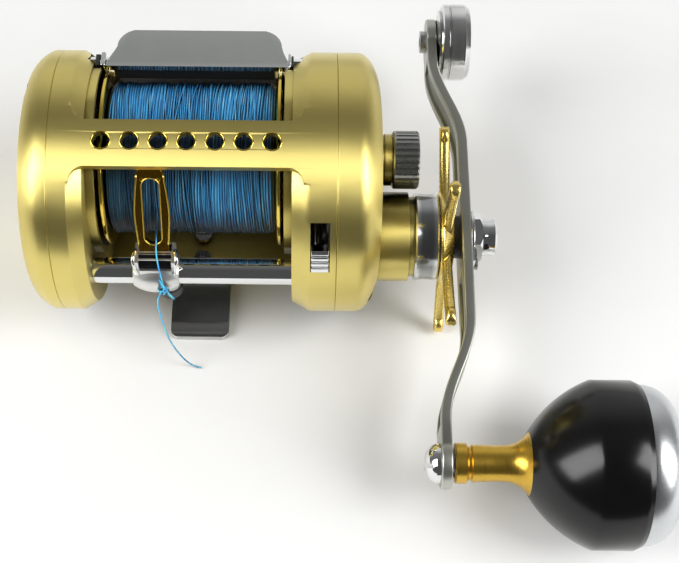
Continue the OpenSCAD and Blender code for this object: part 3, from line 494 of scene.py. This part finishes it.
wound = add_object("wound_line", wound_line(), "spool", M["line_blue"])
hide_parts("spool_line")
add_object("crossing_strands", crossing_strands(), "spool", M["line_blue"])


# ---- Thumb bar ends: chromed tabs and the black clips beside them ----

def rounded_box(name, low, high, edge, body, material):
    """Box between two corners, in millimetres, with its edges rounded by edge."""
    bm = bmesh.new()
    bmesh.ops.create_cube(bm, size=1.0)
    low, high = Vector(low) * MM, Vector(high) * MM
    for v in bm.verts:
        v.co = Vector(((low[i] + high[i]) / 2 + v.co[i] * (high[i] - low[i])) for i in range(3))
    bmesh.ops.bevel(bm, geom=list(bm.edges), offset=edge * MM, segments=3, profile=0.5, affect="EDGES")
    data = bpy.data.meshes.new(name)
    bm.to_mesh(data)
    bm.free()
    for p in data.polygons:
        p.use_smooth = True
    obj = add_object(name, data, body, material)
    normal = obj.modifiers.new("normal", "WEIGHTED_NORMAL")
    normal.keep_sharp = True


bar_low, bar_high = (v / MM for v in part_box("clutch_bar"))
for side, tab, clip in (("palm", (-25.3, -24.0), (-26.8, -25.4)), ("handle", (25.5, 26.3), (26.35, 26.95))):
    rounded_box(f"bar_tab_{side}", (tab[0], bar_low.y - 0.1, 62.6), (tab[1], 19.0, bar_high.z + 0.4), 0.4,
                "clutch_bar", M["chrome"])
    rounded_box(f"bar_clip_{side}", (clip[0], bar_low.y + 0.5, 62.6), (clip[1], 18.6, bar_high.z - 0.2), 0.25,
                "clutch_bar", M["black_plastic"])


# ---- Flared lips of the level wind block ----

block_low, block_high = (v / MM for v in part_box("guide_block"))
block_x = (block_low.x + block_high.x) / 2
lip_verts, lip_faces = [], []
for way, shift in ((-1, 0.0), (1, 0.6)):
    tube(lip_verts, lip_faces, smooth_route([
        (block_x + way * 4.5 + shift, -33.9, 37.6), (block_x + way * 4.7 + shift, -34.1, 39.0),
        (block_x + way * 5.0 + shift, -34.1, 40.6), (block_x + way * 5.35 + shift, -33.7, 42.2),
        (block_x + way * 5.5 + shift, -32.9, 43.3), (block_x + way * 5.3 + shift, -31.6, 43.6),
        (block_x + way * 5.0 + shift, -29.8, 43.2)], 4), 0.55, 12)
add_object("guide_lips", mesh_from("guide_lips", lip_verts, lip_faces), "line_guide", M["chrome"])


# ---- Line guide: rims brightened as painted highlight, and a black block of painted shade at its foot ----

LEAF_TILT_DEG = 25
SLOT_R = 2.42
SLOT_LOW, SLOT_HIGH = 9.15, 24.4
leaf_tilt = math.radians(LEAF_TILT_DEG)
leaf_root = Vector((block_x, -31.5, 38.6))


def on_leaf(x, y, z):
    """Point on the line guide: x across it, y up along it and z out of its front face."""
    return leaf_root + Vector((x, y * math.sin(leaf_tilt) - z * math.cos(leaf_tilt),
                               y * math.cos(leaf_tilt) + z * math.sin(leaf_tilt)))


rim_verts, rim_faces = [], []
for way in (-1, 1):
    edge = [(3.95, 6.6), (4.28, 11.0), (4.55, 16.0), (4.25, 21.0), (3.5, 27.6)]
    tube(rim_verts, rim_faces, smooth_route([on_leaf(way * x, y, 0.68) for x, y in edge], 5), 0.24, 8)
slot_rim = []
for k in range(28):
    t = 2 * math.pi * k / 28
    middle = SLOT_HIGH if math.sin(t) >= 0 else SLOT_LOW
    slot_rim.append(on_leaf(SLOT_R * math.cos(t), middle + SLOT_R * math.sin(t), 0.76))
tube(rim_verts, rim_faces, slot_rim, 0.2, 8, closed=True)
# The rims are rounded edges in a brighter gold than the guide, which paints their highlight.
add_object("guide_glint_rims", mesh_from("guide_glint_rims", rim_verts, rim_faces), "line_guide", M["polished_gold"])

# A black block of painted shade in front of the ribs at the guide's foot, where the block lies in shade. Its
# outline is (Y, Z).
SHADE_BLOCK_SIDE, SHADE_BLOCK_WIDTH = 4.3, 8.9
bm = bmesh.new()
outline = [(-30.8, 43.4), (-31.4, 43.0), (-33.15, 40.6), (-33.3, 39.3), (-30.8, 39.3)]
face = bm.faces.new([bm.verts.new(Vector((block_x - SHADE_BLOCK_SIDE, y, z)) * MM) for y, z in outline])
grown = bmesh.ops.extrude_face_region(bm, geom=[face])
for v in grown["geom"]:
    if isinstance(v, bmesh.types.BMVert):
        v.co.x += SHADE_BLOCK_WIDTH * MM
bmesh.ops.recalc_face_normals(bm, faces=bm.faces)
bmesh.ops.bevel(bm, geom=list(bm.edges), offset=0.22 * MM, segments=2, profile=0.5, affect="EDGES")
shade_block_mesh = bpy.data.meshes.new("guide_shade_block")
bm.to_mesh(shade_block_mesh)
bm.free()
add_object("guide_shade_block", shade_block_mesh, "line_guide", M["guide_shade_black"])


# ---- Star drag: a turned hub with five arms, rounded all over ----

drive_low, drive_high = (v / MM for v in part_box("drive_shaft"))
star_axis = (drive_low + drive_high) / 2
STAR_X = (68.2, 71.1)
STAR_ARMS = 5
STAR_SIDES = 28
FIRST_ARM_DEG = 27.5
ARM_ROOT_R, ARM_TIP_R = 5, 28.9
TIP_BEAD_R = 2.6
HUB_STEPS = 72
# The hub's outline, (radius, X).
HUB_OUTLINE = [
    (3.25, 67.7), (11.9, 67.7), (12.3, 67.78), (12.55, 68.0), (12.6, 68.3), (12.45, 68.6),
    (11.6, 69.4), (10.4, 70.4), (9.2, 71.3), (8.6, 71.7), (8.0, 71.8), (3.25, 71.8)]


def on_star(x, along, across, angle):
    """Point along an arm at the angle, in degrees, from straight back, and across that arm."""
    turn = math.radians(angle)
    return Vector((x, star_axis.y + along * math.cos(turn) - across * math.sin(turn),
                   star_axis.z + along * math.sin(turn) + across * math.cos(turn)))


def star_half_width(r):
    """Half width of an arm at the distance r from the shaft, with a round bead at its tip."""
    t = min(1, max(0, (r - ARM_ROOT_R) / (ARM_TIP_R - ARM_ROOT_R)))
    arm = 5.6 - 3.9 * t - 1.9 * math.sin(math.pi * t) * 0.9
    bead = 0.0
    if r > ARM_TIP_R - TIP_BEAD_R:
        bead = math.sqrt(max(0.0, TIP_BEAD_R ** 2 - (r - ARM_TIP_R) ** 2))
    return max(arm if r < ARM_TIP_R else 0.0, bead, 0.02)


star_verts, star_faces = [], []
middle = (STAR_X[0] + STAR_X[1]) / 2
stations = [4 + 0.8 * i for i in range(28)] + [26.2 + 0.25 * i for i in range(21)] + [31.42, 31.49]
for k in range(STAR_ARMS):
    angle = FIRST_ARM_DEG + 360 / STAR_ARMS * k
    rows = []
    for r in stations:
        half = star_half_width(r)
        thick = 1.45 * min(1.0, 0.45 + 0.55 * (half / 1.5) ** 0.5)
        row = []
        for i in range(STAR_SIDES):
            t = 2 * math.pi * i / STAR_SIDES
            c, q = math.cos(t), math.sin(t)
            row.append(len(star_verts))
            star_verts.append(on_star(middle + thick * math.copysign(abs(q) ** 0.75, q), r,
                                      half * math.copysign(abs(c) ** 0.75, c), angle))
        rows.append(row)
    for a_row, b_row in zip(rows, rows[1:]):
        for i in range(STAR_SIDES):
            j = (i + 1) % STAR_SIDES
            star_faces.append((a_row[i], a_row[j], b_row[j], b_row[i]))
    star_faces.append(tuple(rows[0][::-1]))
    star_faces.append(tuple(rows[-1]))
first = len(star_verts)
ring = len(HUB_OUTLINE)
for k in range(HUB_STEPS):
    for r, x in HUB_OUTLINE:
        star_verts.append(on_star(x, r, 0, 360 * k / HUB_STEPS))
for k in range(HUB_STEPS):
    a = first + k * ring
    b = first + (k + 1) % HUB_STEPS * ring
    for i in range(ring):
        j = (i + 1) % ring
        star_faces.append((a + i, a + j, b + j, b + i))
star = add_object("star_wheel", mesh_from("star_wheel", star_verts, star_faces), "star_drag", M["star_gold"])
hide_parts("star_drag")


# ---- Rounded rims of the cross bar's holes ----

ring_low, ring_high = (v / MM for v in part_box("palm_side_plate"))
ring_axis = (ring_low + ring_high) / 2
BAR_HOLES = 7
HOLE_PITCH = 7.3
HOLE_RIM_R = 2.42
HOLE_RIM_STEPS = 32
BAR_R = 36
RIM_AXIS_R = 35.86
BAR_LEAN_DEG = 20.6
hole_verts, hole_faces = [], []
for k in range(BAR_HOLES):
    loop = []
    for i in range(HOLE_RIM_STEPS):
        t = 2 * math.pi * i / HOLE_RIM_STEPS
        lean = math.radians(BAR_LEAN_DEG) + (HOLE_RIM_R * math.sin(t) - 0.5) / BAR_R
        x = HOLE_PITCH * (k - BAR_HOLES // 2) + HOLE_RIM_R * math.cos(t)
        loop.append(Vector((x, ring_axis.y - RIM_AXIS_R * math.sin(lean),
                            ring_axis.z + RIM_AXIS_R * math.cos(lean))))
    tube(hole_verts, hole_faces, loop, 0.24, 8, closed=True)
add_object("bar_hole_rims", mesh_from("bar_hole_rims", hole_verts, hole_faces), "frame", M["polished_gold"])


# ---- CAD nodes: materials and edge rounding ----

FINISHES = {
    "champagne_gold": ["frame", "palm_side_plate", "handle_side_plate"],
    "polished_gold": ["spool"],
    "orange_gold": ["knob_hub"],
    "gold_nitride": ["line_guide"],
    "shaded_satin_chrome": ["foot"],
    "satin_silver": ["guide_block"],
    "weight_chrome": ["counterweight"],
    "collar_chrome": ["neck_collar"],
    "shaded_bar_chrome": ["clutch_bar"],
    "chrome": ["levelwind_tube", "nut_retainer", "handle_nut", "knob_screw", "clicker_button"],
    "steel": ["foot_screws", "palm_plate_screws", "palm_bearing", "brake_ring", "gear_plate",
              "handle_plate_screws", "pinion_bearing", "roller_clutch", "drive_bearing", "yoke_posts",
              "yoke_springs", "spool_shaft", "click_gear", "shaft_pin", "clutch_link", "drive_shaft",
              "drag_plates", "drag_springs", "retainer_screw", "counterweight_screw", "knob_shaft",
              "knob_bearings", "worm_shaft", "guide_pawl"],
    "brass": ["worm_bushings", "clutch_yoke", "pinion", "main_gear", "worm_gear", "levelwind_drive_gear"],
    "arm_grey": ["handle_arm"],
    "gunmetal": ["cast_cap"],
    "black_plastic": ["brake_hub", "clutch_bar_pad", "drag_washers", "arm_spacer", "pawl_cap"],
    "brake_plastic": ["brake_blocks"],
    "knob_black": ["knob_body"],
    "knob_silver": ["knob_cap"],
}
# Edge rounding of CAD nodes, in millimetres.
ROUNDED = {
    "frame": 0.25, "handle_side_plate": 0.2, "foot": 0.35, "clutch_bar": 0.25, "handle_arm": 0.45,
    "line_guide": 0.35, "nut_retainer": 0.15, "spool": 0.12, "guide_block": 0.2, "clicker_button": 0.3,
    "clutch_bar_pad": 0.2,
}
# Turned CAD nodes that are only shaded smooth.
SMOOTHED = ["knob_body", "knob_cap", "knob_hub", "neck_collar", "spool_shaft", "levelwind_tube", "pawl_cap",
            "counterweight", "palm_side_plate", "cast_cap", "handle_nut", "knob_screw"]


def dress(node, material):
    """Gives a CAD node its material, and smooth shading or rounded edges where it is listed for them."""
    obj = NODES[node]
    obj.data.materials.clear()
    obj.data.materials.append(material)
    for p in obj.data.polygons:
        p.material_index = 0
    if node not in ROUNDED and node not in SMOOTHED:
        return
    for name in ("custom_normal", "sharp_edge", "sharp_face"):
        if name in obj.data.attributes:
            obj.data.attributes.remove(obj.data.attributes[name])
    for p in obj.data.polygons:
        p.use_smooth = True
    weld = obj.modifiers.new("weld", "WELD")
    weld.merge_threshold = 0.000002
    if node in SMOOTHED:
        split = obj.modifiers.new("split", "EDGE_SPLIT")
        split.split_angle = math.radians(24)
        return
    bevel = obj.modifiers.new("bevel", "BEVEL")
    bevel.width = ROUNDED[node] * MM
    bevel.segments = 2
    bevel.limit_method = "ANGLE"
    bevel.angle_limit = math.radians(32)
    bevel.use_clamp_overlap = True
    normal = obj.modifiers.new("normal", "WEIGHTED_NORMAL")
    normal.keep_sharp = True


for finish_name, members in FINISHES.items():
    for member in members:
        dress(member, M[finish_name])


# ---- Studio ----

FLOOR_HALF = 1.7
FLOOR_BACK = 1.45
LAMP_SIZE = (0.5, 0.85)
LAMP_AIM = (0, -0.02, 0.03)


def floor():
    bm = bmesh.new()
    bmesh.ops.create_grid(bm, x_segments=8, y_segments=8, size=FLOOR_HALF)
    data = bpy.data.meshes.new("floor")
    bm.to_mesh(data)
    bm.free()
    material, tree, shader = node_material("floor")
    colour = ramp(tree, noise(tree, 14, 4, 0.6), [(0.3, (0.88, 0.88, 0.87)), (0.7, (0.91, 0.91, 0.90))])
    tree.links.new(colour, shader.inputs["Base Color"])
    tree.links.new(span(tree, noise(tree, 400, 2), 0.55, 0.7), shader.inputs["Roughness"])
    shader.inputs["Specular IOR Level"].default_value = 0.25
    obj = bpy.data.objects.new("floor", data)
    bpy.context.scene.collection.objects.link(obj)
    obj.data.materials.append(material)
    obj.location = (0, FLOOR_BACK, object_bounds()[0][2] - 0.0001)
    obj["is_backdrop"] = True


def softbox(name, place, radiance):
    """Soft rectangular lamp that looks at the reel."""
    data = bpy.data.lights.new(name, "AREA")
    data.shape = "RECTANGLE"
    data.size, data.size_y = LAMP_SIZE
    data.energy = radiance * math.pi * LAMP_SIZE[0] * LAMP_SIZE[1]
    obj = bpy.data.objects.new(name, data)
    bpy.context.scene.collection.objects.link(obj)
    obj.location = place
    obj.rotation_euler = (Vector(LAMP_AIM) - Vector(place)).to_track_quat("-Z", "Y").to_euler()


floor()
softbox("left", (-0.74, -0.30, 0.62), 7.0)
softbox("right", (0.84, -0.30, 0.62), 7.8)

world = bpy.data.worlds.new("world")
bpy.context.scene.world = world
world.use_nodes = True
sky = world.node_tree
coord = sky.nodes.new("ShaderNodeTexCoord")
parts = sky.nodes.new("ShaderNodeSeparateXYZ")
sky.links.new(coord.outputs["Generated"], parts.inputs[0])
toward_rear = span(sky, parts.outputs["Y"], 0, 1, -1, 1)
glow = ramp(sky, toward_rear, [(0.30, (0.08, 0.08, 0.08)), (0.74, (0.20, 0.20, 0.20)),
                               (0.82, (0.40, 0.40, 0.40)), (0.92, (0.70, 0.70, 0.70))])
sky.links.new(glow, sky.nodes["Background"].inputs["Color"])
bpy.context.scene.view_settings.view_transform = "Standard"
bpy.context.scene.view_settings.look = "None"
